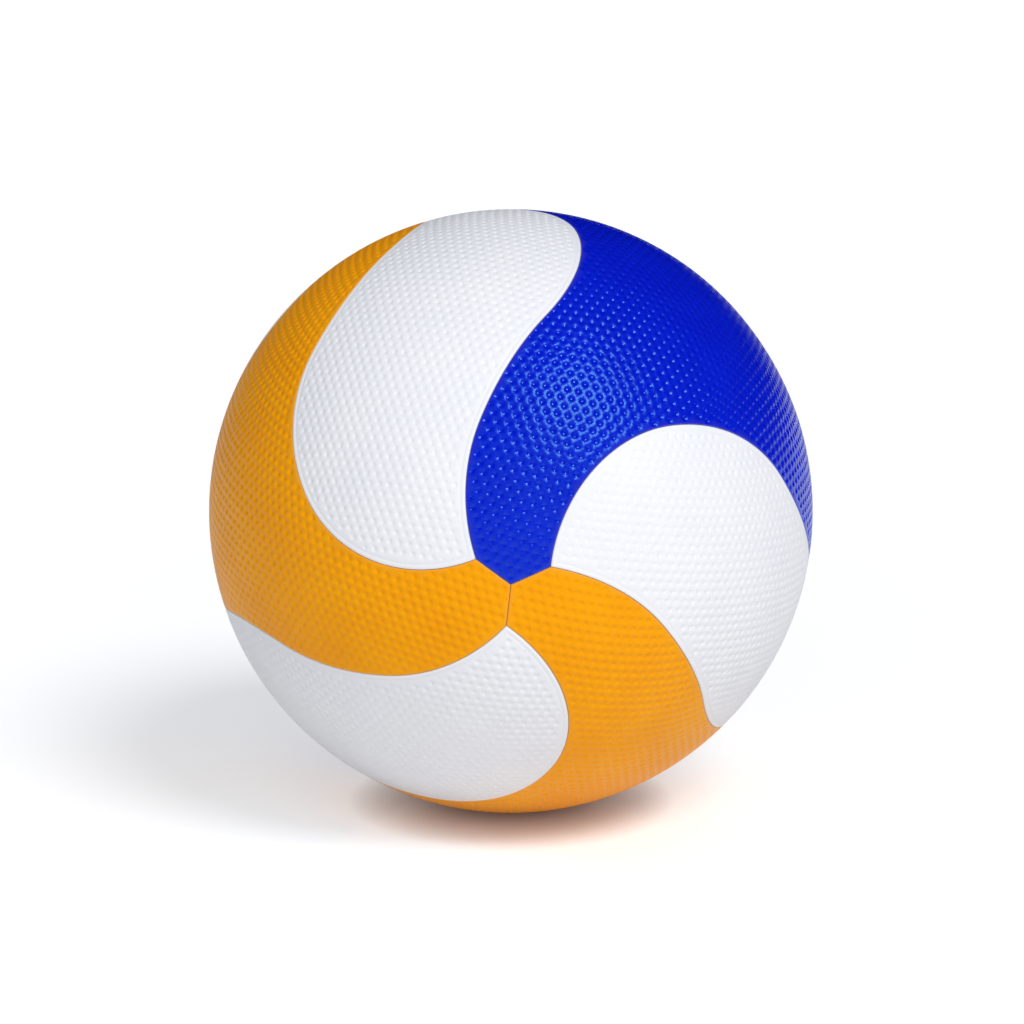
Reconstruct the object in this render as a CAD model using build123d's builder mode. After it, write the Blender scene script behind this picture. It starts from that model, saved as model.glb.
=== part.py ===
"""A ten-panel indoor volleyball, built from the inside out.

An air-tight bladder with a needle valve sits inside a thread winding and a rubber carcass.
Ten foam-backed cover panels are glued to the carcass: six S-shaped white ones and four
three-armed coloured ones. The four points where three coloured arms meet are the hubs, and
they stand at the corners of a regular tetrahedron.

The origin is the ball's centre, +Z is up, the front hub faces -Y and the valve faces +Y.
"""

import os
from math import acos, cos, degrees, pi, radians, sin, sqrt

from build123d import *

# Driving dimensions of the ball, in millimetres
circumference = 660.0
skin_thickness = 1.2
foam_thickness = 2.6
carcass_thickness = 0.5
winding_thickness = 0.5
bladder_thickness = 0.7
glue_line = 0.2
seam_gap = 0.3
seam_bevel = 0.8
foam_setback = 0.4
winding_setback = 0.6
contact_patch_diameter = 10.6

# Driving dimensions of the valve
stem_diameter = 9.0
stem_clearance = 0.15
stem_recess = 0.6
housing_length = 15.0
flange_diameter = 24.0
flange_thickness = 1.2
core_diameter = 5.2
core_head_diameter = 6.8
core_head_height = 1.5
core_clearance = 0.05
core_length = 13.0
needle_diameter = 2.4
needle_depth = 9.0
slit_width = 0.3
slit_length = 2.4

# How far the front white panel leans to the left of upright, in degrees, seen from the front
front_lean_angle = 20.0

# One side of a white panel, walked from its tip at one hub to its tip at the next, in degrees.
# The tip lies so far along and across the line between the hubs, and the walk starts at this
# heading from it. Each bend has a radius on the ball, minus where it turns right, and a length.
# A radius of 90 is a straight run.
seam_tip_angles = (-48.3, 4.3)
seam_heading_angle = 93.11
seam_bend_angles = [(-27.0, 38.0), (-37.0, 30.3), (90.0, 1.5), (62.0, 23.26), (35.0, 25.66)]

# Radii of the layers, worked out from the outside in
ball_radius = circumference / (2 * pi)
skin_inner = ball_radius - skin_thickness
foam_outer = skin_inner - glue_line
foam_inner = foam_outer - foam_thickness
carcass_outer = foam_inner - glue_line
carcass_inner = carcass_outer - carcass_thickness
winding_outer = carcass_inner - glue_line
winding_inner = winding_outer - winding_thickness
bladder_outer = winding_inner - glue_line
bladder_inner = bladder_outer - bladder_thickness
flange_outer = bladder_inner - glue_line
flange_inner = flange_outer - flange_thickness

# The bevelled rim takes up most of the skin, and the ball's weight flattens a small round patch
rim_bevel = min(seam_bevel, 0.8 * skin_thickness)
floor_drop = sqrt(ball_radius**2 - (contact_patch_diameter / 2) ** 2)
valve_hole_radius = stem_diameter / 2 + stem_clearance

# Hubs of a regular tetrahedron: one at the front, three behind it at equal turns
hub_spacing = acos(-1 / 3)
great_circle_angle = 90.0
straight_angle = 89.0
lean = radians(front_lean_angle)


def back_hub(turn):
    """Unit vector to a rear hub, turned clockwise from upright as seen from the front."""
    return Vector(sin(hub_spacing) * sin(turn), -cos(hub_spacing), sin(hub_spacing) * cos(turn))


third = 2 * pi / 3
hub_front = Vector(0, -1, 0)
hub_top = back_hub(-lean)
hub_right = back_hub(third - lean)
hub_low = back_hub(2 * third - lean)

# White panels run from hub to hub, and coloured panels fill the face opposite a hub
white_panels = {
    "white_front_top": (hub_front, hub_top),
    "white_front_right": (hub_front, hub_right),
    "white_front_low": (hub_front, hub_low),
    "white_back_top": (hub_top, hub_right),
    "white_back_left": (hub_low, hub_top),
    "white_back_low": (hub_right, hub_low),
}
coloured_panels = {
    "blue_front": (hub_low, hub_front),
    "blue_back": (hub_front, hub_top),
    "orange_left": (hub_right, hub_front),
    "orange_bottom": (hub_top, hub_front),
}
valve_panel = "blue_back"
floor_panels = ("orange_bottom", "white_back_low")


def white_plane(start, end):
    """Frame of a white panel: +Z through its middle and +X along the line between its hubs."""
    return Plane(origin=(0, 0, 0), x_dir=end - start, z_dir=start + end)


def coloured_plane(opposite, arm):
    """Frame of a coloured panel: +Z through its middle and +X towards one of its arms."""
    middle = opposite * -1
    return Plane(origin=(0, 0, 0), x_dir=arm - middle * arm.dot(middle), z_dir=middle)


def turned(vector, pivot, angle):
    """A vector turned about a line through the ball's centre, by an angle in degrees."""
    return vector.rotate(Axis((0, 0, 0), pivot), angle)


def bend(start, heading, radius, length):
    """An arc on the ball: its pivot, its radius, its start and its turn about the pivot."""
    side = start.cross(heading)
    pivot = start * cos(radians(radius)) + side * sin(radians(radius))
    return pivot, radius, start, length / sin(radians(radius))


def bend_end(arc):
    """The point where an arc ends."""
    pivot, radius, start, turn = arc
    return turned(start, pivot, turn)


def white_side():
    """One side of a white panel in its own frame: smoothly joined arcs from tip to tip."""
    along, across = radians(seam_tip_angles[0]), radians(seam_tip_angles[1])
    place = Vector(sin(along) * cos(across), sin(across), cos(along) * cos(across))
    heading = turned(Vector(cos(along), 0, -sin(along)), place, seam_heading_angle)
    arcs = []
    for radius, length in seam_bend_angles:
        arc = bend(place, heading, radius, length)
        heading = turned(heading, arc[0], arc[3])
        place = bend_end(arc)
        arcs.append(arc)
    return arcs


def straight_side(start, end):
    """A short straight seam between two points on the ball."""
    heading = start.cross(end).cross(start).normalized()
    return [bend(start, heading, great_circle_angle, start.get_angle(end))]


def moved_side(arcs, plane):
    """Arcs given in a plane's own frame, moved with the plane."""
    return [
        (plane.from_local_coords(pivot), radius, plane.from_local_coords(start), turn)
        for pivot, radius, start, turn in arcs
    ]


def white_sides():
    """The two sides of a white panel in its own frame."""
    half_turn = Plane(origin=(0, 0, 0), x_dir=(-1, 0, 0), z_dir=(0, 0, 1))
    return [white_side(), moved_side(white_side(), half_turn)]


def coloured_sides():
    """The sides of a coloured panel in its own frame: a long one and two short ones for each arm."""
    tilt = pi - hub_spacing
    hub = Vector(sin(tilt), 0, cos(tilt))
    next_hub = hub.rotate(Axis.Z, 120)
    long_side = moved_side(white_side(), white_plane(hub, next_hub))
    leave_hub = straight_side(hub, long_side[0][2])
    reach_hub = straight_side(bend_end(long_side[-1]), next_hub)
    arm = [leave_hub, long_side, reach_hub]
    turns = [Plane(origin=(0, 0, 0), x_dir=Vector(1, 0, 0).rotate(Axis.Z, a)) for a in (0, 120, 240)]
    return [moved_side(side, turn) for turn in turns for side in arm]


def meeting_point(first, second, near):
    """Where two circles on the ball cross, each given by pivot and radius: the crossing near a point."""
    (pivot_a, radius_a), (pivot_b, radius_b) = first, second
    cos_a, cos_b = cos(radians(radius_a)), cos(radians(radius_b))
    c = pivot_a.dot(pivot_b)
    flat = (pivot_a * (cos_a - c * cos_b) + pivot_b * (cos_b - c * cos_a)) * (1 / (1 - c * c))
    rise = pivot_a.cross(pivot_b) * sqrt((1 - flat.dot(flat)) / (1 - c * c))
    return min((flat + rise, flat - rise), key=lambda point: (point - near).length)


def on_circle(circle, towards):
    """The point of a circle on the ball that lies on the way from its pivot to another point."""
    pivot, radius = circle
    outward = (towards - pivot * towards.dot(pivot)).normalized()
    return pivot * cos(radians(radius)) + outward * sin(radians(radius))


def turn_between(pivot, start, end):
    """The angle about a pivot from one point to another."""
    from_start = start - pivot * start.dot(pivot)
    from_end = end - pivot * end.dot(pivot)
    return from_start.get_angle(from_end)


def inset_circles(arcs, on_left, shift):
    """The arcs' circles, each moved towards the panel by an angle."""
    return [
        (pivot, abs(radius) - shift if (radius > 0) == on_left else abs(radius) + shift)
        for pivot, radius, start, turn in arcs
    ]


def panel_edge(sides, on_left, shift):
    """The edge round a panel, moved in from its seams by an angle: pivots, starts and turns."""
    arcs = [arc for side in sides for arc in side]
    corners = [arc is side[0] for side in sides for arc in side]
    circles = inset_circles(arcs, on_left, shift)
    joints = [
        meeting_point(circles[i - 1], circles[i], arc[2]) if corners[i] else on_circle(circles[i], arc[2])
        for i, arc in enumerate(arcs)
    ]
    edge = []
    for i, (pivot, radius, start, turn) in enumerate(arcs):
        end = joints[(i + 1) % len(arcs)]
        edge.append((pivot if turn > 0 else pivot * -1, joints[i], turn_between(pivot, joints[i], end)))
    return edge


def shell_panel(edge, outer, inner, rim):
    """A piece of a spherical shell round +Z, with radial walls along its edge and a bevelled rim.

    The walls belong to cones from the ball's centre, so a flat section of them is made of conics.
    """
    lowest = min(start.Z for pivot, start, turn in edge)
    with BuildPart() as panel:
        for height in (0.95 * inner * lowest, 1.05 * outer):
            with BuildSketch(Plane.XY.offset(height)):
                with BuildLine():
                    for pivot, start, turn in edge:
                        end = turned(start, pivot, turn)
                        middle = pivot * pivot.dot(start)
                        ease = cos(radians(turn / 2))
                        pull = middle + ((start + end) * 0.5 - middle) * (1 / ease**2)
                        poles = [(p.X * height / p.Z, p.Y * height / p.Z) for p in (start, pull, end)]
                        if pivot.get_angle(start) > straight_angle:
                            Line(poles[0], poles[2])
                        else:
                            Bezier(*poles, weights=[start.Z, pull.Z * ease, end.Z])
                make_face()
        loft(ruled=True)
        with BuildSketch(Plane.XY):
            with BuildLine():
                outer_arc = CenterArc((0, 0), outer, 0, 180)
                inner_arc = CenterArc((0, 0), inner, 0, 180)
                Line(outer_arc @ 0, inner_arc @ 0)
                Line(outer_arc @ 1, inner_arc @ 1)
            make_face()
        revolve(axis=Axis.X, revolution_arc=180, mode=Mode.INTERSECT)
        if rim:
            surface = panel.faces().sort_by(SortBy.AREA)[-1]
            chamfer(surface.edges(), length=rim)
    return panel.part


def closed_layer(outer, inner, hole_radius):
    """A full spherical layer with a hole for the valve stem, turned about the valve's axis."""
    with BuildPart() as layer:
        with BuildSketch(Plane.XY):
            with BuildLine():
                outer_arc = CenterArc((0, 0), outer, -90, 90 + degrees(acos(hole_radius / outer)))
                inner_arc = CenterArc((0, 0), inner, -90, 90 + degrees(acos(hole_radius / inner)))
                Line(outer_arc @ 0, inner_arc @ 0)
                Line(outer_arc @ 1, inner_arc @ 1)
            make_face()
        revolve(axis=Axis.Y)
    return layer.part


def write(part, name):
    """Labels a finished piece and writes it as the node of that name."""
    part.label = name
    export_step(part, f"parts/{name}.step")
    print(name, round(part.volume), "mm3")


os.makedirs("parts", exist_ok=True)

# One white and one coloured pattern of the skin and of its foam, cut along the same seams
skin_shift = degrees(seam_gap / 2 / ball_radius)
foam_shift = degrees((seam_gap / 2 + foam_setback) / ball_radius)
white_skin_edge = panel_edge(white_sides(), False, skin_shift)
white_foam_edge = panel_edge(white_sides(), False, foam_shift)
coloured_skin_edge = panel_edge(coloured_sides(), True, skin_shift)
coloured_foam_edge = panel_edge(coloured_sides(), True, foam_shift)
white_patterns = {
    "cover": shell_panel(white_skin_edge, ball_radius, skin_inner, rim_bevel),
    "foam": shell_panel(white_foam_edge, foam_outer, foam_inner, 0),
}
coloured_patterns = {
    "cover": shell_panel(coloured_skin_edge, ball_radius, skin_inner, rim_bevel),
    "foam": shell_panel(coloured_foam_edge, foam_outer, foam_inner, 0),
}

# The seam between an orange and a white panel runs through the patch that the ball stands on
floor_plane = Plane(origin=(0, 0, -floor_drop), z_dir=(0, 0, 1))
for layer_name, pattern in white_patterns.items():
    for panel_name, hubs in white_panels.items():
        with BuildPart() as white_panel:
            add(pattern.moved(white_plane(*hubs).location))
            if panel_name in floor_panels:
                split(bisect_by=floor_plane, keep=Keep.TOP)
        write(white_panel.part, f"{layer_name}_{panel_name}")

hole_setbacks = {"cover": 0, "foam": foam_setback}
valve_plane = Plane(origin=(0, 0, 0), x_dir=(1, 0, 0), z_dir=(0, 1, 0))
for layer_name, pattern in coloured_patterns.items():
    for panel_name, hubs in coloured_panels.items():
        with BuildPart() as coloured_panel:
            add(pattern.moved(coloured_plane(*hubs).location))
            if panel_name == valve_panel:
                with BuildSketch(valve_plane):
                    Circle(valve_hole_radius + hole_setbacks[layer_name])
                extrude(amount=ball_radius, mode=Mode.SUBTRACT)
            if panel_name in floor_panels:
                split(bisect_by=floor_plane, keep=Keep.TOP)
        write(coloured_panel.part, f"{layer_name}_{panel_name}")

write(closed_layer(carcass_outer, carcass_inner, valve_hole_radius), "rubber_carcass")
write(closed_layer(winding_outer, winding_inner, valve_hole_radius + winding_setback), "thread_winding")
write(closed_layer(bladder_outer, bladder_inner, valve_hole_radius), "bladder")

# Valve housing: a stem through the wall, with a flange bonded inside the bladder
valve_face = ball_radius - stem_recess
housing_end = valve_face - housing_length
stem_radius = stem_diameter / 2
flange_turn = flange_diameter / 2 / flange_outer
bore_radius = core_diameter / 2 + core_clearance
seat_radius = core_head_diameter / 2 + core_clearance
seat_depth = core_head_height + core_clearance
with BuildPart() as valve_housing:
    with BuildSketch(Plane.XY):
        with BuildLine():
            outer_root = Vector(stem_radius, sqrt(flange_outer**2 - stem_radius**2))
            inner_root = Vector(stem_radius, sqrt(flange_inner**2 - stem_radius**2))
            outer_lip = Vector(sin(flange_turn), cos(flange_turn)) * flange_outer
            inner_lip = Vector(sin(flange_turn), cos(flange_turn)) * flange_inner
            Polyline((seat_radius, valve_face), (stem_radius, valve_face), outer_root)
            RadiusArc(outer_root, outer_lip, flange_outer)
            Line(outer_lip, inner_lip)
            RadiusArc(inner_lip, inner_root, -flange_inner)
            Polyline(
                inner_root,
                (stem_radius, housing_end),
                (bore_radius, housing_end),
                (bore_radius, valve_face - seat_depth),
                (seat_radius, valve_face - seat_depth),
                (seat_radius, valve_face),
            )
        make_face()
    revolve(axis=Axis.Y)
write(valve_housing.part, "valve_housing")

# Valve core: a headed plug with a blind needle hole, closed at its foot by a slit
core_end = valve_face - core_length
needle_end = valve_face - needle_depth
with BuildPart() as valve_core:
    with BuildSketch(Plane.XY):
        with BuildLine():
            Polyline(
                (needle_diameter / 2, valve_face),
                (core_head_diameter / 2, valve_face),
                (core_head_diameter / 2, valve_face - core_head_height),
                (core_diameter / 2, valve_face - core_head_height),
                (core_diameter / 2, core_end),
                (0, core_end),
                (0, needle_end),
                (needle_diameter / 2, needle_end),
                close=True,
            )
        make_face()
    revolve(axis=Axis.Y)
    with BuildSketch(valve_plane.offset(core_end)):
        Rectangle(slit_length, slit_width)
    extrude(amount=needle_end - core_end, mode=Mode.SUBTRACT)
write(valve_core.part, "valve_core")

print("ball radius", round(ball_radius, 3), "hub spacing", round(degrees(hub_spacing), 3))
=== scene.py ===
# %% [markdown]
# # An indoor volleyball in ten panels
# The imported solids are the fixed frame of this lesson: ten cover panels, their foam backing, a
# rubber carcass, a thread winding, a bladder and a needle valve. Everything below is in metres,
# with the ball's centre at the origin, +Z up and the front of the ball towards -Y.

# %% Load the solids
from collections import namedtuple
from math import acos, asin, atan2, cos, hypot, pi, radians, sin, sqrt

import bmesh
import bpy
import numpy as np
from mathutils import Matrix, Vector
from mathutils.geometry import delaunay_2d_cdt


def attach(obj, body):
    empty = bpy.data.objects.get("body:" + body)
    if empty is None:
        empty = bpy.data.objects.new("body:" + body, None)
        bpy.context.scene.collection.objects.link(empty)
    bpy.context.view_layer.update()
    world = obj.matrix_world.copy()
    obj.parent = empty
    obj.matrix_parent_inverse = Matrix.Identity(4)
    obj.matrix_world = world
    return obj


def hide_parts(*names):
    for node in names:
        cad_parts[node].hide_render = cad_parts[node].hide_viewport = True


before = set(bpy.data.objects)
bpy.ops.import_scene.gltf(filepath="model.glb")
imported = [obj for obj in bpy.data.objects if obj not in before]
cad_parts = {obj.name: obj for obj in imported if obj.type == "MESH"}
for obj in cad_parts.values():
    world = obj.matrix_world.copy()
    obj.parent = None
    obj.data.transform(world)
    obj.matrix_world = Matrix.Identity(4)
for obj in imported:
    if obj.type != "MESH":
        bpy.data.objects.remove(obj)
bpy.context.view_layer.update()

bpy.ops.object.select_all(action="DESELECT")

# %% [markdown]
# ## The seams
# Every seam of the ball is a chain of arcs, and each arc turns about a line through the ball's
# centre. One S-shaped chain is enough: it is one side of a white panel, and the same chain bounds
# the coloured panels. Drawing the seams by hand on a sphere would let neighbours drift apart, so
# the chain is walked with the same numbers as the solids, and both neighbours read it. Each bend
# of the chain is the radius and the length of an arc in degrees, and a minus bends it the other way.

# %% Sizes of the ball and its seams
circumference, skin_thickness, contact_patch_radius = 0.660, 0.0012, 0.0053
ball_radius = circumference / (2 * pi)
skin_inner = ball_radius - skin_thickness
floor_height = -sqrt(ball_radius**2 - contact_patch_radius**2)
hub_spacing = acos(-1 / 3)
thirds = (0, 2 * pi / 3, 4 * pi / 3)
seam_tip = (radians(-48.3), radians(4.3))
seam_heading = radians(93.11)
seam_bends = [(-27.0, 38.0), (-37.0, 30.3), (90.0, 1.5), (62.0, 23.26), (35.0, 25.66)]
print("ball radius in mm:", round(ball_radius * 1000, 3))

# %% Walk one side of a white panel
Arc = namedtuple("Arc", "pivot radius start turn")


def turned(vector, pivot, angle):
    return Matrix.Rotation(angle, 3, pivot) @ vector


def arc_from(start, heading, radius, length):
    pivot = start * cos(radius) + start.cross(heading) * sin(radius)
    return Arc(pivot, radius, start, length / sin(radius))


def arc_end(arc):
    return turned(arc.start, arc.pivot, arc.turn)


def white_side():
    along, across = seam_tip
    place = Vector((sin(along) * cos(across), sin(across), cos(along) * cos(across)))
    heading = turned(Vector((cos(along), 0, -sin(along))), place, seam_heading)
    arcs = []
    for radius, length in seam_bends:
        arc = arc_from(place, heading, radians(radius), radians(length))
        heading = turned(heading, arc.pivot, arc.turn)
        place = arc_end(arc)
        arcs.append(arc)
    return arcs


print("arcs in one side:", len(white_side()))


# %% The sides of a white panel and of a coloured panel
def moved(arcs, matrix):
    return [arc._replace(pivot=matrix @ arc.pivot, start=matrix @ arc.start) for arc in arcs]


def straight(start, end):
    heading = start.cross(end).cross(start).normalized()
    return [arc_from(start, heading, pi / 2, start.angle(end))]


def panel_frame(x_dir, z_dir):
    z_axis = z_dir.normalized()
    x_axis = (x_dir - z_axis * x_dir.dot(z_axis)).normalized()
    return Matrix((x_axis, z_axis.cross(x_axis), z_axis)).transposed()


def about_z(angle):
    return Matrix.Rotation(angle, 3, "Z")


white_sides = [white_side(), moved(white_side(), about_z(pi))]

tilt = pi - hub_spacing
hub = Vector((sin(tilt), 0, cos(tilt)))
next_hub = about_z(thirds[1]) @ hub
long_side = moved(white_side(), panel_frame(next_hub - hub, hub + next_hub))
leave_hub = straight(hub, long_side[0].start)
reach_hub = straight(arc_end(long_side[-1]), next_hub)
coloured_sides = [
    moved(side, about_z(angle)) for angle in thirds for side in (leave_hub, long_side, reach_hub)
]
print("sides:", len(white_sides), "round a white panel,", len(coloured_sides), "round a coloured one")

# %% Walk a panel's edge at a given distance in from the seam
edge_spacing = 0.0009


def crossing(first, second, near):
    (pivot_a, radius_a), (pivot_b, radius_b) = first, second
    c = pivot_a.dot(pivot_b)
    flat = pivot_a * (cos(radius_a) - c * cos(radius_b)) + pivot_b * (cos(radius_b) - c * cos(radius_a))
    flat /= 1 - c * c
    rise = pivot_a.cross(pivot_b) * sqrt((1 - flat.dot(flat)) / (1 - c * c))
    return min((flat + rise, flat - rise), key=lambda point: (point - near).length)


def on_circle(circle, towards):
    pivot, radius = circle
    outward = (towards - pivot * towards.dot(pivot)).normalized()
    return pivot * cos(radius) + outward * sin(radius)


def edge_loop(sides, on_left, inset):
    shift = inset / ball_radius
    arcs = [arc for side in sides for arc in side]
    corners = [arc is side[0] for side in sides for arc in side]
    circles = [
        (arc.pivot, abs(arc.radius) - shift if (arc.radius > 0) == on_left else abs(arc.radius) + shift)
        for arc in arcs
    ]
    joints = [
        crossing(circles[i - 1], circles[i], arc.start) if corners[i] else on_circle(circles[i], arc.start)
        for i, arc in enumerate(arcs)
    ]
    points = []
    for i, arc in enumerate(arcs):
        steps = max(1, round(abs(arc.turn * sin(arc.radius)) * ball_radius / edge_spacing))
        begin = joints[i] - arc.pivot * joints[i].dot(arc.pivot)
        end = joints[(i + 1) % len(arcs)]
        sweep = begin.angle(end - arc.pivot * end.dot(arc.pivot)) * (1 if arc.turn > 0 else -1)
        points += [turned(joints[i], arc.pivot, sweep * k / steps) for k in range(steps)]
    return points


def white_rim(inset):
    return edge_loop(white_sides, False, inset)


def coloured_rim(inset):
    return edge_loop(coloured_sides, True, inset)


print("points round a white panel:", len(white_rim(0.0)), "and a coloured one:", len(coloured_rim(0.0)))

# %% [markdown]
# ## The embossed cover
# The leather is pressed with round pits on a hexagonal grid before the panels are cut out, about
# 3.6 mm from pit to pit. A bump texture would fake them, but it gives no real glint in the bottom
# of each pit and vanishes at the outline. Hand tools such as inset would need one click per pit.
# So the pits are built: each is a small bowl of rings on the sphere, and a flat triangulation of
# the panel joins the bowls to each other and to the rim. The sheet is laid on the ball so that the
# grid keeps its pitch along each arm of a panel. A ring of a pit is its share of the pit's radius
# and its share of the pit's depth.

# %% Lay the grid of pits over a panel
sheet_arms = {"white": 2, "coloured": 3}
grid_turns = {"white": 0.0, "coloured": radians(-8)}
pit_pitches = {"white": 0.00352, "coloured": 0.00366}
pit_depths = {"white": 0.00027, "coloured": 0.00042}
pit_radii = {"white": 0.00105, "coloured": 0.00118}
pit_rings = [(0.0, 1.0), (0.46, 0.88), (0.77, 0.42), (0.95, 0.03), (1.09, 0.0)]
pit_sides = 8
sheet_reach = radians(84)
row_height = sqrt(0.75)


def sheet_points(sheet, pitch):
    arms = sheet_arms[sheet]
    count = int(sheet_reach * ball_radius / (pitch * row_height)) + 2
    points = []
    for row in range(-count, count + 1):
        for column in range(-count, count + 1):
            x, y = (column + 0.5 * (row % 2)) * pitch, row * pitch * row_height
            theta = hypot(x, y) / ball_radius
            if theta > sheet_reach:
                continue
            psi = atan2(y, x) + grid_turns[sheet]
            widen = theta / sin(theta) - 1 if theta > 0 else 0
            phi = psi + widen / arms * sin(arms * psi)
            points.append((sin(theta) * cos(phi), sin(theta) * sin(phi), cos(theta)))
    return np.array(points)


print("grid points tried for a white panel:", len(sheet_points("white", pit_pitches["white"])))


# %% Tell which grid points lie inside an edge, and how far from it
def flat_map(points):
    points = np.asarray(points, float)
    unit = points / np.linalg.norm(points, axis=1, keepdims=True)
    return 2 * unit[:, :2] / (1 + unit[:, 2:])


def inside(points, loop):
    x, y = points[:, 0], points[:, 1]
    found = np.zeros(len(points), bool)
    for (ax, ay), (bx, by) in zip(loop, np.roll(loop, -1, axis=0)):
        if ay != by:
            found ^= ((ay > y) != (by > y)) & (x < (bx - ax) * (y - ay) / (by - ay) + ax)
    return found


def gap_to(points, loop):
    ahead = np.roll(loop, -1, axis=0) - loop
    reach = (ahead**2).sum(axis=1)
    gaps = []
    for point in points:
        share = np.clip(((point - loop) * ahead).sum(axis=1) / reach, 0, 1)
        gaps.append(np.linalg.norm(loop + ahead * share[:, None] - point, axis=1).min())
    stretch = 1 + (points**2).sum(axis=1) / 4
    return np.array(gaps) / stretch * ball_radius


def kept(candidates, rims, margin):
    flat = flat_map(candidates)
    fits = inside(flat, rims[0])
    candidates, flat = candidates[fits], flat[fits]
    gaps = np.min([gap_to(flat, rim) for rim in rims], axis=0)
    for rim in rims[1:]:
        gaps[inside(flat, rim)] = 0
    return candidates[gaps > margin], gaps[gaps > margin]


half_width = gap_to(np.zeros((1, 2)), flat_map(white_rim(0.0)))[0]
print("half the width of a white panel in mm:", round(half_width * 1000, 1))

# %% Keep the points and faces of one panel while it is built
fill_inside, join_distance = 1, 1e-9


class PanelDraft:
    def __init__(self):
        self.points, self.faces = [], []
        self.masks = {"edge": [], "pit": []}

    def add(self, places, edge=0.0, pit=0.0):
        first = len(self.points)
        self.points += [Vector(place) for place in places]
        count = len(self.points) - first
        self.masks["edge"] += [edge] * count
        self.masks["pit"] += [pit] * count
        return list(range(first, first + count))

    def strip(self, lower, upper):
        self.faces += [(lower[k - 1], lower[k], upper[k], upper[k - 1]) for k in range(len(lower))]

    def fill(self, loops, extra):
        used = [index for loop in loops for index in loop] + extra
        flat = flat_map([self.points[index] for index in used])
        edges, first = [], 0
        for loop in loops:
            edges += [(first + k, first + (k + 1) % len(loop)) for k in range(len(loop))]
            first += len(loop)
        places = [Vector(place) for place in flat]
        _, _, triangles, origins, *_ = delaunay_2d_cdt(places, edges, [], fill_inside, join_distance)
        # A second loop is the valve hole, which lies in the middle of the flat map.
        hole = flat[len(loops[0]):first]
        hole_size = np.linalg.norm(hole, axis=1).min() if len(hole) else 0
        for triangle in triangles:
            corners = [origins[k][0] for k in triangle]
            if np.linalg.norm(flat[corners].mean(axis=0)) > hole_size:
                self.faces.append(tuple(used[k] for k in corners))


print("masks kept for the finish:", list(PanelDraft().masks))

# %% [markdown]
# ## The rim of a panel
# On the real ball the panels are butted and glued over foam, so each one rolls over gently towards
# its seam and ends in a short cut wall. The white panels also have a smooth hem, about 1.5 mm wide,
# with a shallow groove behind it. A Bevel modifier would round the wall but not the last few
# millimetres of leather, so the rim is a list of rings, each with its distance from the seam and its
# depth below the ball's surface, and the pits near the seam sink with it.

# %% Roll the leather over towards the seam
wall_inset, wall_drop = 0.00006, 0.00046
rim_rings = {
    "white": [
        (wall_inset, wall_drop), (0.00012, 0.00026), (0.00024, 0.00012), (0.00045, 0.00004),
        (0.00085, 0.00001), (0.00125, 0.00003), (0.00155, 0.00011), (0.00180, 0.00015),
        (0.00205, 0.00010), (0.00240, 0.00005),
    ],
    "coloured": [
        (wall_inset, wall_drop), (0.00011, 0.00030), (0.00020, 0.00020), (0.00032, 0.00015),
        (0.00046, 0.00012),
    ],
}
roll_ends = {
    "white": [(0.0032, 0.00002), (0.0040, 0.0)],
    "coloured": [(0.0016, 0.00004), (0.0032, 0.0)],
}


def roll_drop(directions, rims, sheet):
    insets, drops = zip(*rim_rings[sheet], *roll_ends[sheet])
    gaps = np.min([gap_to(flat_map(directions), rim) for rim in rims], axis=0)
    return np.interp(gaps + rim_rings[sheet][-1][0], insets, drops)


def add_rim(draft, rim, sheet):
    foot = draft.add([d * skin_inner for d in rim(wall_inset)], edge=1.0)
    previous = foot
    for inset, drop in rim_rings[sheet]:
        ring = draft.add([d * (ball_radius - drop) for d in rim(inset)], edge=(drop / wall_drop) ** 2)
        draft.strip(previous, ring)
        previous = ring
    return foot, previous


for sheet, rings in rim_rings.items():
    roll_start = roll_ends[sheet][-1][0] * 1000
    print(sheet, "rim:", len(rings), "rings, roll starts", roll_start, "mm from the seam")

# %% Press the pits
pit_margin, pit_clearance = 0.00036, 0.00003
pit_spread = pit_rings[-1][0]
pit_seed, depth_range = 7, (0.88, 1.08)


def pit_ring(middle, angle, twist):
    if angle == 0:
        return [middle]
    side = middle.orthogonal().normalized()
    other = middle.cross(side)
    turns = [2 * pi * (k + twist) / pit_sides for k in range(pit_sides)]
    return [middle * cos(angle) + (side * cos(t) + other * sin(t)) * sin(angle) for t in turns]


def add_pits(draft, rims, sheet):
    centres, gaps = kept(sheet_points(sheet, pit_pitches[sheet]), rims, pit_margin)
    variation = np.random.RandomState(pit_seed).uniform(*depth_range, len(centres))
    full_size = pit_radii[sheet]
    roll_reach = roll_ends[sheet][-1][0] - rim_rings[sheet][-1][0] + full_size * pit_spread
    indices = []
    for centre, gap, vary in zip(centres, gaps, variation):
        size = min(full_size, (gap - pit_clearance) / pit_spread)
        depth = pit_depths[sheet] * vary * size / full_size
        for k, (spread, share) in enumerate(pit_rings):
            ring = pit_ring(Vector(centre), spread * size / ball_radius, k / 2)
            drops = roll_drop(ring, rims, sheet) if gap < roll_reach else np.zeros(len(ring))
            places = [d * (ball_radius - depth * share - drop) for d, drop in zip(ring, drops)]
            indices += draft.add(places, pit=share)
    return indices


print("points in one pit:", 1 + pit_sides * (len(pit_rings) - 1))

# %% Put one panel together: wall, rolled rim, pits and back
back_pitch, back_margin = 0.007, 0.002


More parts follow.
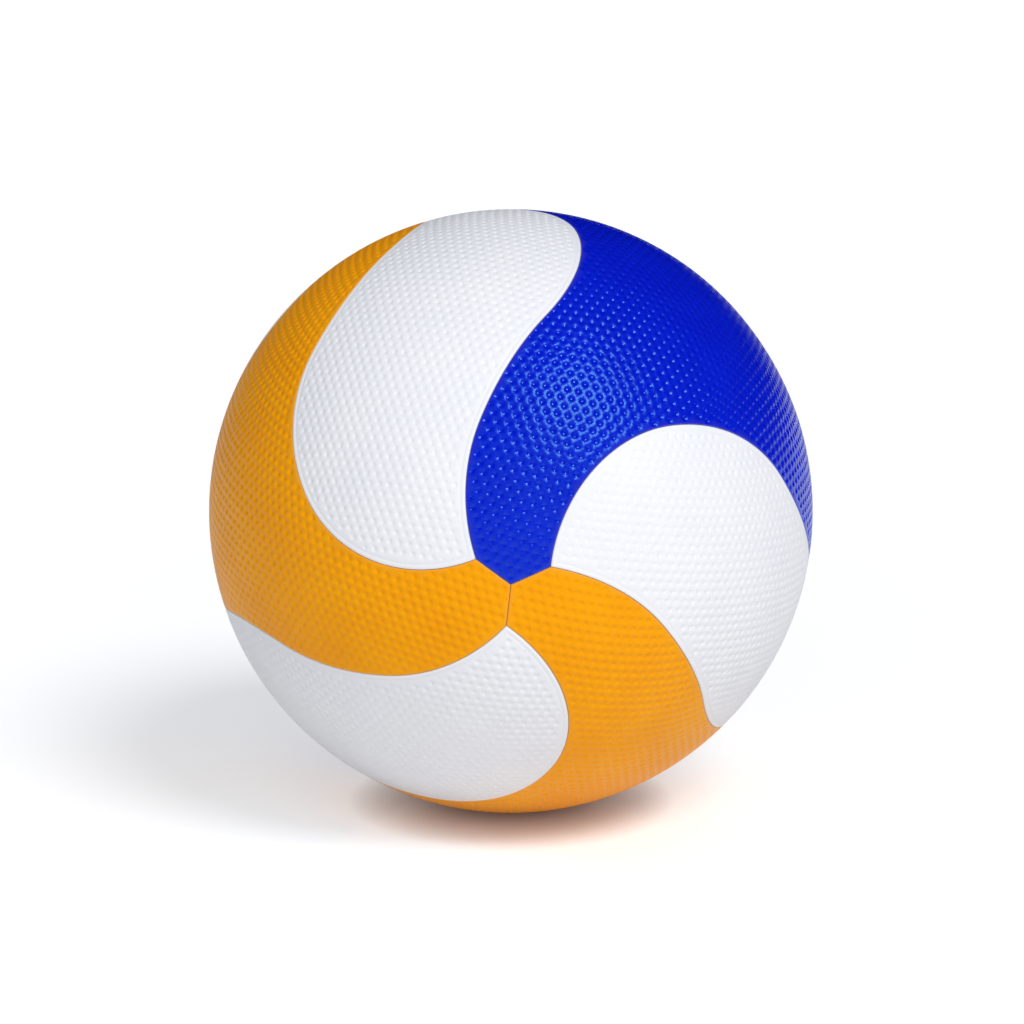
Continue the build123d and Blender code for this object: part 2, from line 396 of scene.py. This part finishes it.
def panel_mesh(name, rim_curves, sheet):
    draft = PanelDraft()
    feet, tops = zip(*(add_rim(draft, rim, sheet) for rim in rim_curves))
    rims = [flat_map([draft.points[k] for k in loop]) for loop in tops]
    draft.fill(tops, add_pits(draft, rims, sheet))
    back_grid = kept(sheet_points(sheet, back_pitch), rims, back_margin)[0]
    draft.fill(feet, draft.add(back_grid * skin_inner, edge=1.0))

    mesh = bpy.data.meshes.new(name)
    mesh.from_pydata(draft.points, [], draft.faces)
    for key, values in draft.masks.items():
        mesh.attributes.new(key, "FLOAT", "POINT").data.foreach_set("value", values)
    check = bmesh.new()
    check.from_mesh(mesh)
    print(name, "faces:", len(check.faces), "open edges:", sum(not e.is_manifold for e in check.edges))
    check.free()
    return mesh


print("points on a panel's back are", back_pitch * 1000, "mm apart")

# %% Three patterns: white, coloured, and coloured with the valve hole
valve_hole, hole_sides = 0.00465, 56


def hole_rim(inset):
    angle = (valve_hole + inset) / ball_radius
    turns = [2 * pi * k / hole_sides for k in range(hole_sides)]
    return [Vector((sin(angle) * cos(t), sin(angle) * sin(t), cos(angle))) for t in turns]


white_pattern = panel_mesh("white_pattern", [white_rim], "white")
coloured_pattern = panel_mesh("coloured_pattern", [coloured_rim], "coloured")
valve_pattern = panel_mesh("valve_pattern", [coloured_rim, hole_rim], "coloured")

# %% [markdown]
# ## Finishes
# The cover is a coated synthetic leather: a strong even colour, a satin shine and a very fine
# grain between the pits. The grain is used by all three colours, so it is a node group with its
# own inputs. Where a panel was cut, its pale backing shows as a hairline in the seam.

# %% Helpers for node trees
mix_first, mix_second, mix_colour = 6, 7, 2


def add_node(tree, kind, **values):
    node = tree.nodes.new(kind)
    inputs = values.pop("inputs", {})
    for key, value in values.items():
        setattr(node, key, value)
    for key, value in inputs.items():
        if isinstance(value, bpy.types.NodeSocket):
            tree.links.new(value, node.inputs[key])
        else:
            node.inputs[key].default_value = value
    return node


def calculate(tree, operation, *values):
    return add_node(tree, "ShaderNodeMath", operation=operation, inputs=dict(enumerate(values))).outputs[0]


def blend(tree, factor, first, second):
    colours = {"Factor": factor, mix_first: first, mix_second: second}
    return add_node(tree, "ShaderNodeMix", data_type="RGBA", inputs=colours).outputs[mix_colour]


def ranged(tree, value, **limits):
    limits = {key.replace("_", " ").title(): limit for key, limit in limits.items()}
    return add_node(tree, "ShaderNodeMapRange", inputs={"Value": value, **limits}).outputs["Result"]


def bumped(tree, height, strength, depth):
    inputs = {"Height": height, "Strength": strength, "Distance": depth}
    return add_node(tree, "ShaderNodeBump", inputs=inputs).outputs["Normal"]


print("sockets of a colour mix:", mix_first, mix_second, "to", mix_colour)


# %% Helpers for groups, materials and colours
def new_group(name, inputs, outputs):
    group = bpy.data.node_groups.new(name, "ShaderNodeTree")
    for label, kind, value in inputs:
        socket = group.interface.new_socket(label, in_out="INPUT", socket_type=kind)
        if value is not None:
            socket.default_value = value
    for label, kind in outputs:
        group.interface.new_socket(label, in_out="OUTPUT", socket_type=kind)
    return group, add_node(group, "NodeGroupInput"), add_node(group, "NodeGroupOutput")


def new_material(name):
    material = bpy.data.materials.new(name)
    material.use_nodes = True
    tree = material.node_tree
    return material, tree, tree.nodes["Principled BSDF"]


def linear(red, green, blue):
    def channel(value):
        value /= 255
        return value / 12.92 if value <= 0.04045 else ((value + 0.055) / 1.055) ** 2.4

    return channel(red), channel(green), channel(blue), 1.0


print("orange in linear light:", [round(c, 3) for c in linear(254, 168, 1)[:3]])

# %% The grain of the coated leather
crease_share = 0.6
grain, grain_in, grain_out = new_group(
    "coated_leather_grain",
    [("Position", "NodeSocketVector", None), ("Fineness", "NodeSocketFloat", 2200.0)],
    [("Height", "NodeSocketFloat"), ("Tone", "NodeSocketFloat"), ("Gloss", "NodeSocketFloat")],
)
position = grain_in.outputs["Position"]
cells = add_node(
    grain, "ShaderNodeTexVoronoi", feature="SMOOTH_F1",
    inputs={"Vector": position, "Scale": grain_in.outputs["Fineness"], "Smoothness": 0.6},
)
creases = add_node(
    grain, "ShaderNodeTexNoise",
    inputs={"Vector": position, "Scale": 900.0, "Detail": 4.0, "Roughness": 0.6},
)
mottle = add_node(
    grain, "ShaderNodeTexNoise",
    inputs={"Vector": position, "Scale": 45.0, "Detail": 5.0, "Roughness": 0.55},
)
smears = add_node(
    grain, "ShaderNodeTexNoise",
    inputs={"Vector": position, "Scale": 140.0, "Detail": 3.0, "Distortion": 0.8},
)
height = calculate(grain, "MULTIPLY_ADD", creases.outputs["Fac"], crease_share, cells.outputs["Distance"])
grain.links.new(height, grain_out.inputs["Height"])
grain.links.new(mottle.outputs["Fac"], grain_out.inputs["Tone"])
grain.links.new(smears.outputs["Fac"], grain_out.inputs["Gloss"])
print("group made:", grain.name)

# %% White, blue and orange leather
cut_edge, cut_share = linear(206, 198, 186), 0.4
noise_low, noise_high = 0.3, 0.7
pressed_change = -0.06
coat_roughness = 0.14
grain_strength, grain_depth = 0.14, 0.00005


def leather(name, tones, roughness, gloss, gloss_tint, pit_polish):
    (light_tone, dark_tone), (low_rough, high_rough) = tones, roughness
    material, tree, shader = new_material(name)
    place = add_node(tree, "ShaderNodeTexCoord").outputs["Object"]
    surface = add_node(tree, "ShaderNodeGroup", node_tree=grain, inputs={"Position": place})
    edge = add_node(tree, "ShaderNodeAttribute", attribute_name="edge").outputs["Fac"]
    pit = add_node(tree, "ShaderNodeAttribute", attribute_name="pit").outputs["Fac"]

    tone = ranged(tree, surface.outputs["Tone"], from_min=noise_low, from_max=noise_high)
    dyed = blend(tree, tone, dark_tone, light_tone)
    cut = blend(tree, calculate(tree, "MULTIPLY", edge, cut_share), dyed, cut_edge)
    shine = ranged(
        tree, surface.outputs["Gloss"],
        from_min=noise_low, from_max=noise_high, to_min=low_rough, to_max=high_rough,
    )
    tree.links.new(cut, shader.inputs["Base Color"])
    tree.links.new(calculate(tree, "MULTIPLY_ADD", pit, pressed_change, shine), shader.inputs["Roughness"])
    tree.links.new(calculate(tree, "MULTIPLY", pit, pit_polish), shader.inputs["Coat Weight"])
    bump = bumped(tree, surface.outputs["Height"], grain_strength, grain_depth)
    tree.links.new(bump, shader.inputs["Normal"])
    shader.inputs["Coat Roughness"].default_value = coat_roughness
    shader.inputs["Specular IOR Level"].default_value = gloss
    shader.inputs["Specular Tint"].default_value = gloss_tint
    return material


white_tones = linear(244, 244, 246), linear(239, 240, 243)
blue_tones = linear(1, 25, 204), linear(1, 20, 195)
orange_tones = linear(254, 168, 1), linear(249, 159, 1)
leathers = {
    "cover_white": leather("white_leather", white_tones, (0.42, 0.50), 0.34, (1.0, 1.0, 1.0, 1.0), 0.05),
    "cover_blue": leather("blue_leather", blue_tones, (0.25, 0.31), 0.46, (0.3, 0.9, 1.0, 1.0), 0.18),
    "cover_orange": leather("orange_leather", orange_tones, (0.38, 0.46), 0.30, (1.0, 0.85, 0.3, 1.0), 0.03),
}
print("leathers:", [material.name for material in leathers.values()])

# %% [markdown]
# ## The ten cover panels
# Four hubs stand at the corners of a regular tetrahedron, one of them in front. A white panel
# runs from hub to hub, and a coloured panel fills the face opposite a hub. Each copy of a pattern
# gets its own mesh, turned into place, and whatever would reach below the floor is pressed flat
# there.

# %% Hubs and panels
lean = radians(20)


def back_hub(turn):
    return Vector((sin(hub_spacing) * sin(turn), -cos(hub_spacing), sin(hub_spacing) * cos(turn)))


hub_front = Vector((0, -1, 0))
hub_top, hub_right, hub_low = (back_hub(turn - lean) for turn in thirds)
white_panels = {
    "white_front_top": (hub_front, hub_top),
    "white_front_right": (hub_front, hub_right),
    "white_front_low": (hub_front, hub_low),
    "white_back_top": (hub_top, hub_right),
    "white_back_left": (hub_low, hub_top),
    "white_back_low": (hub_right, hub_low),
}
coloured_panels = {
    "blue_front": (hub_low, hub_front),
    "blue_back": (hub_front, hub_top),
    "orange_left": (hub_right, hub_front),
    "orange_bottom": (hub_top, hub_front),
}
print("hub at the top:", [round(c, 3) for c in hub_top])

# %% Copy, turn and dress each panel
leather_crease = radians(50)


def select_only(piece):
    bpy.ops.object.select_all(action="DESELECT")
    piece.select_set(True)
    bpy.context.view_layer.objects.active = piece


def face_outwards(piece):
    select_only(piece)
    bpy.ops.object.mode_set(mode="EDIT")
    bpy.ops.mesh.select_all(action="SELECT")
    bpy.ops.mesh.normals_make_consistent(inside=False)
    bpy.ops.object.mode_set(mode="OBJECT")


def place_panel(name, pattern, turn, slot):
    mesh = pattern.copy()
    mesh.transform(turn.to_4x4())
    places = np.empty(len(mesh.vertices) * 3)
    mesh.vertices.foreach_get("co", places)
    places = places.reshape(-1, 3)
    places[:, 2] = np.maximum(places[:, 2], floor_height)
    mesh.vertices.foreach_set("co", places.ravel())
    panel = bpy.data.objects.new("leather_" + name, mesh)
    bpy.context.collection.objects.link(panel)
    face_outwards(panel)
    bpy.ops.object.shade_smooth_by_angle(angle=leather_crease)
    panel.data.materials.append(leathers[slot])
    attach(panel, "ball")
    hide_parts("cover_" + name)
    return panel


panels = []
for name, (start, end) in white_panels.items():
    panels.append(place_panel(name, white_pattern, panel_frame(end - start, start + end), "cover_white"))
for name, (opposite, arm) in coloured_panels.items():
    pattern = valve_pattern if name == "blue_back" else coloured_pattern
    slot = "cover_" + name.split("_")[0]
    panels.append(place_panel(name, pattern, panel_frame(arm, -opposite), slot))
for pattern in (white_pattern, coloured_pattern, valve_pattern):
    bpy.data.meshes.remove(pattern)
print("panels:", len(panels), "faces:", sum(len(panel.data.polygons) for panel in panels))

# %% [markdown]
# ## Rubber, foam and thread
# Foam, carcass, winding and bladder are closed in by the cover. Their solids have the right shape,
# so they stay, and only their finishes change: open-cell foam, dull black rubber, wound thread.
# Foam and rubbers share one recipe, a cloudy tone with fine moulded pores. Its values are two
# tones, the scale of the pores, the roughness and the depth of the pores.

# %% A mottled rubber or foam finish
cloud_size, rough_swing, pore_strength = 8, 0.12, 0.4


def speckled(name, light_tone, dark_tone, scale, rough, depth):
    material, tree, shader = new_material(name)
    place = add_node(tree, "ShaderNodeTexCoord").outputs["Object"]
    pores = add_node(tree, "ShaderNodeTexVoronoi", inputs={"Vector": place, "Scale": scale})
    cloud = add_node(
        tree, "ShaderNodeTexNoise", inputs={"Vector": place, "Scale": scale / cloud_size, "Detail": 4.0},
    ).outputs["Fac"]
    dull = ranged(tree, cloud, to_min=rough - rough_swing, to_max=rough + rough_swing)
    bump = bumped(tree, pores.outputs["Distance"], pore_strength, depth)
    tree.links.new(blend(tree, cloud, dark_tone, light_tone), shader.inputs["Base Color"])
    tree.links.new(dull, shader.inputs["Roughness"])
    tree.links.new(bump, shader.inputs["Normal"])
    return material


foam_finish = speckled("backing_foam", linear(236, 232, 222), linear(220, 214, 202), 1400.0, 0.85, 0.0002)
carcass_finish = speckled("carcass_rubber", linear(44, 43, 42), linear(28, 27, 27), 700.0, 0.62, 0.0001)
bladder_finish = speckled("bladder_rubber", linear(30, 30, 32), linear(18, 18, 20), 400.0, 0.45, 0.0001)
valve_finish = speckled("valve_rubber", linear(40, 40, 42), linear(26, 26, 28), 1800.0, 0.5, 0.00004)
core_finish = speckled("core_rubber", linear(58, 57, 56), linear(40, 39, 39), 1800.0, 0.55, 0.00004)
print("finishes:", [m.name for m in (foam_finish, carcass_finish, bladder_finish, valve_finish, core_finish)])

# %% The wound thread
thread_turns = [(0.0, 0.0, 0.0), (1.1, 0.4, 0.0), (0.5, 1.2, 0.7), (0.0, 0.9, 1.9)]
thread_strength, thread_depth, thread_rough = 0.6, 0.0002, 0.6
thread_finish, tree, shader = new_material("wound_nylon_thread")
place = add_node(tree, "ShaderNodeTexCoord").outputs["Object"]
layers = []
for thread_turn in thread_turns:
    wound = add_node(tree, "ShaderNodeMapping", inputs={"Vector": place, "Rotation": thread_turn})
    threads = add_node(
        tree, "ShaderNodeTexWave",
        inputs={"Vector": wound.outputs["Vector"], "Scale": 220.0, "Distortion": 1.5, "Detail": 1.0},
    )
    layers.append(threads.outputs["Fac"])
lay = layers[0]
for layer in layers[1:]:
    lay = calculate(tree, "MAXIMUM", lay, layer)
tone = blend(tree, lay, linear(120, 116, 106), linear(228, 225, 214))
tree.links.new(tone, shader.inputs["Base Color"])
tree.links.new(bumped(tree, lay, thread_strength, thread_depth), shader.inputs["Normal"])
shader.inputs["Roughness"].default_value = thread_rough
print("thread directions crossed:", len(layers))

# %% Give the hidden solids their finishes
hidden_finishes = {
    "rubber_carcass": carcass_finish,
    "thread_winding": thread_finish,
    "bladder": bladder_finish,
}
for name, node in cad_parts.items():
    finish = foam_finish if name.startswith("foam_") else hidden_finishes.get(name)
    if finish:
        for material_slot in node.material_slots:
            material_slot.material = finish
foam_count = sum(name.startswith("foam_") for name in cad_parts)
print("hidden solids kept:", foam_count + len(hidden_finishes))

# %% [markdown]
# ## The valve
# At the back a moulded rubber collar comes through the wall, and a plug with a needle hole sits in
# it. Both are round about the valve's axis, so each is turned like a lathe part: a ring of edges is
# extruded from step to step of its half outline. A Spin would do the same from a drawn outline, but
# extruding keeps every ring in reach. A Bevel modifier then rounds the moulded lips, and the slit
# that the needle opens is cut with a Boolean.

# %% Sizes of the valve
valve_recess, collar_length, stem_radius = 0.0006, 0.015, 0.0045
flange_depth, flange_thickness, flange_reach = 0.0070, 0.0012, 0.012
core_radius, core_length, core_clearance = 0.0026, 0.013, 0.00005
head_radius, head_height = 0.0034, 0.0015
needle_radius, needle_depth = 0.0012, 0.009
valve_face = ball_radius - valve_recess
collar_end = valve_face - collar_length
flange_outer = ball_radius - flange_depth
flange_inner = flange_outer - flange_thickness
flange_turn = flange_reach / flange_outer
core_end = valve_face - core_length
needle_end = valve_face - needle_depth
print("valve face in mm from the centre:", round(valve_face * 1000, 2))

# %% Turn a piece from its half outline
lathe_sides, merge_distance, axis_radius = 48, 0.000002, 0.0000005
lip_width, lip_angle, lip_segments = 0.00025, radians(40), 3
moulded_crease = radians(35)


def turned_piece(name, outline):
    (radius, height), *steps = outline
    bpy.ops.object.select_all(action="DESELECT")
    bpy.ops.mesh.primitive_circle_add(
        vertices=lathe_sides, radius=radius, fill_type="NOTHING", location=(0, 0, 0), rotation=(pi / 2, 0, 0),
    )
    bpy.ops.object.transform_apply(location=True, rotation=True, scale=True)
    piece = bpy.context.active_object
    piece.name = name
    bpy.ops.object.mode_set(mode="EDIT")
    bpy.ops.mesh.select_all(action="SELECT")
    bpy.ops.transform.translate(value=(0, height, 0))
    for next_radius, next_height in steps:
        bpy.ops.mesh.extrude_region_move(
            TRANSFORM_OT_translate={"value": (0, next_height - height, 0)},
        )
        share = next_radius / radius
        bpy.ops.transform.resize(value=(share, 1, share), center_override=(0, next_height, 0))
        radius, height = next_radius, next_height
    bpy.ops.mesh.select_all(action="SELECT")
    bpy.ops.mesh.remove_doubles(threshold=merge_distance)
    bpy.ops.mesh.normals_make_consistent(inside=False)
    bpy.ops.object.mode_set(mode="OBJECT")
    return piece


def round_lips(piece):
    select_only(piece)
    lips = piece.modifiers.new("moulded_lips", "BEVEL")
    lips.limit_method = "ANGLE"
    lips.angle_limit = lip_angle
    lips.width = lip_width
    lips.segments = lip_segments
    bpy.ops.object.modifier_apply(modifier=lips.name)


print("sides round a turned piece:", lathe_sides, "and points merge within", merge_distance * 1000, "mm")

# %% The collar
seat_radius, bore_radius = head_radius + core_clearance, core_radius + core_clearance
seat_height = valve_face - head_height - core_clearance
flange_steps = 6


def flange_arc(radius, start, end):
    angles = [start + (end - start) * k / flange_steps for k in range(flange_steps + 1)]
    return [(radius * sin(angle), radius * cos(angle)) for angle in angles]


collar = turned_piece("valve_collar", [
    (seat_radius, valve_face),
    (stem_radius, valve_face),
    *flange_arc(flange_outer, asin(stem_radius / flange_outer), flange_turn),
    *flange_arc(flange_inner, flange_turn, asin(stem_radius / flange_inner)),
    (stem_radius, collar_end),
    (bore_radius, collar_end),
    (bore_radius, seat_height),
    (seat_radius, seat_height),
    (seat_radius, valve_face),
])
round_lips(collar)
bpy.ops.object.shade_smooth_by_angle(angle=moulded_crease)
collar.data.materials.append(valve_finish)
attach(collar, "ball")
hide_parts("valve_housing")
print("collar faces:", len(collar.data.polygons))

# %% The core with its needle hole
core = turned_piece("needle_plug", [
    (axis_radius, needle_end),
    (needle_radius, needle_end),
    (needle_radius, valve_face),
    (head_radius, valve_face),
    (head_radius, valve_face - head_height),
    (core_radius, valve_face - head_height),
    (core_radius, core_end),
    (axis_radius, core_end),
])
round_lips(core)
print("core faces before the slit:", len(core.data.polygons))

# %% Cut the slit that the needle opens
slit_length, slit_width = 0.0024, 0.0003
past_core_end, past_needle_end = 0.0005, 0.0003
slit_bottom, slit_top = core_end - past_core_end, needle_end + past_needle_end
bpy.ops.object.select_all(action="DESELECT")
bpy.ops.mesh.primitive_cube_add(size=1, location=(0, (slit_bottom + slit_top) / 2, 0))
blade = bpy.context.active_object
blade.scale = (slit_length, slit_top - slit_bottom, slit_width)
bpy.ops.object.transform_apply(location=True, rotation=True, scale=True)
select_only(core)
slit = core.modifiers.new("slit", "BOOLEAN")
slit.operation = "DIFFERENCE"
slit.solver = "EXACT"
slit.object = blade
bpy.ops.object.modifier_apply(modifier=slit.name)
bpy.data.meshes.remove(blade.data)
bpy.ops.object.shade_smooth_by_angle(angle=moulded_crease)
core.data.materials.clear()
core.data.materials.append(core_finish)
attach(core, "valve_core")
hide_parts("valve_core")
print("core faces:", len(core.data.polygons))

# %% [markdown]
# ## Floor, light and camera
# The ball stands on a plain pale floor under soft studio light: one wide lamp above the camera's
# right shoulder, a very wide one from the front that leaves no highlight, and a dim even sky. Lamps
# of the sun kind light the floor evenly to the edge of the picture. The floor looks white to the
# camera without putting more light on the ball, because its extra brightness is for camera, mirror
# and glass rays only. That extra brightness is dimmed where the ball is near, which paints a contact
# shadow on the floor under the ball.

# %% Pale floor
floor_size, floor_tone, floor_lift = 16, (0.86, 0.86, 0.86, 1.0), 0.47
polish_share, polish_tone, polish_rough = 0.15, (1.0, 1.0, 1.0, 1.0), 0.12
# Reach and samples of the painted contact shadow, which dims the floor's lift under the ball.
painted_shadow_reach, painted_shadow_samples = 0.015, 8
bpy.ops.mesh.primitive_plane_add(size=floor_size, location=(0, 0, floor_height))
floor = bpy.context.active_object
floor.name = "studio_floor"
floor_finish, tree, shader = new_material("studio_floor_paint")
tree.nodes.remove(shader)
paint = add_node(tree, "ShaderNodeBsdfDiffuse", inputs={"Color": floor_tone})
gloss = add_node(tree, "ShaderNodeBsdfGlossy", inputs={"Color": polish_tone, "Roughness": polish_rough})
polished = add_node(
    tree, "ShaderNodeMixShader", inputs={0: polish_share, 1: paint.outputs[0], 2: gloss.outputs[0]},
)
rays = add_node(tree, "ShaderNodeLightPath").outputs
seen = calculate(tree, "MAXIMUM", rays["Is Camera Ray"], rays["Is Glossy Ray"])
seen = calculate(tree, "MAXIMUM", seen, rays["Is Transmission Ray"])
# Ambient occlusion dims the lift near the ball: this is a painted contact shadow on the floor.
painted_contact_shadow = add_node(
    tree, "ShaderNodeAmbientOcclusion", samples=painted_shadow_samples, inputs={"Distance": painted_shadow_reach},
)
lift_with_painted_shadow = calculate(tree, "MULTIPLY", painted_contact_shadow.outputs["AO"], floor_lift)
glow = add_node(tree, "ShaderNodeEmission", inputs={"Strength": calculate(tree, "MULTIPLY", seen, lift_with_painted_shadow)})
both = add_node(tree, "ShaderNodeAddShader", inputs={0: polished.outputs[0], 1: glow.outputs[0]})
tree.links.new(both.outputs[0], tree.nodes["Material Output"].inputs["Surface"])
floor_finish.cycles.emission_sampling = "NONE"
floor.data.materials.append(floor_finish)
print("floor height in mm:", round(floor_height * 1000, 3))

# %% Soft lamps and a dim sky
lamp_distance = 3
sky_tone, sky_level = (0.90, 0.97, 1.10, 1.0), 0.29


def soft_lamp(name, direction, spread, level):
    aim = (-Vector(direction)).to_track_quat("-Z", "Y").to_euler()
    bpy.ops.object.light_add(type="SUN", location=Vector(direction) * lamp_distance, rotation=aim)
    lamp = bpy.context.active_object
    lamp.name = name
    lamp.data.angle = spread
    lamp.data.energy = level * pi
    return lamp


soft_lamp("key_lamp", (0.39, -0.50, 0.77), radians(24), 0.50)
front_lamp = soft_lamp("front_lamp", (-0.02, -0.99, 0.03), radians(80), 0.57)
front_lamp.visible_glossy = False
sky = bpy.data.worlds.new("dim_sky")
bpy.context.scene.world = sky
sky.use_nodes = True
sky.node_tree.nodes["Background"].inputs["Color"].default_value = sky_tone
sky.node_tree.nodes["Background"].inputs["Strength"].default_value = sky_level
sky.cycles_visibility.glossy = False
bpy.context.scene.view_settings.view_transform = "Standard"

# %% Camera
camera_height, camera_distance = radians(13.2), 1.4706
camera_data = bpy.data.cameras.new("camera")
camera_data.lens = 148.2
camera_data.sensor_width = 36
camera_data.shift_x = 0.0011
camera_data.shift_y = -0.0010
camera = bpy.data.objects.new("camera", camera_data)
bpy.context.collection.objects.link(camera)
camera.location = Vector((0, -cos(camera_height), sin(camera_height))) * camera_distance
camera.rotation_euler = (-camera.location).to_track_quat("-Z", "Y").to_euler()
bpy.context.scene.camera = camera
print("camera at", [round(c, 3) for c in camera.location])

# %% Update the view layer
bpy.context.view_layer.update()
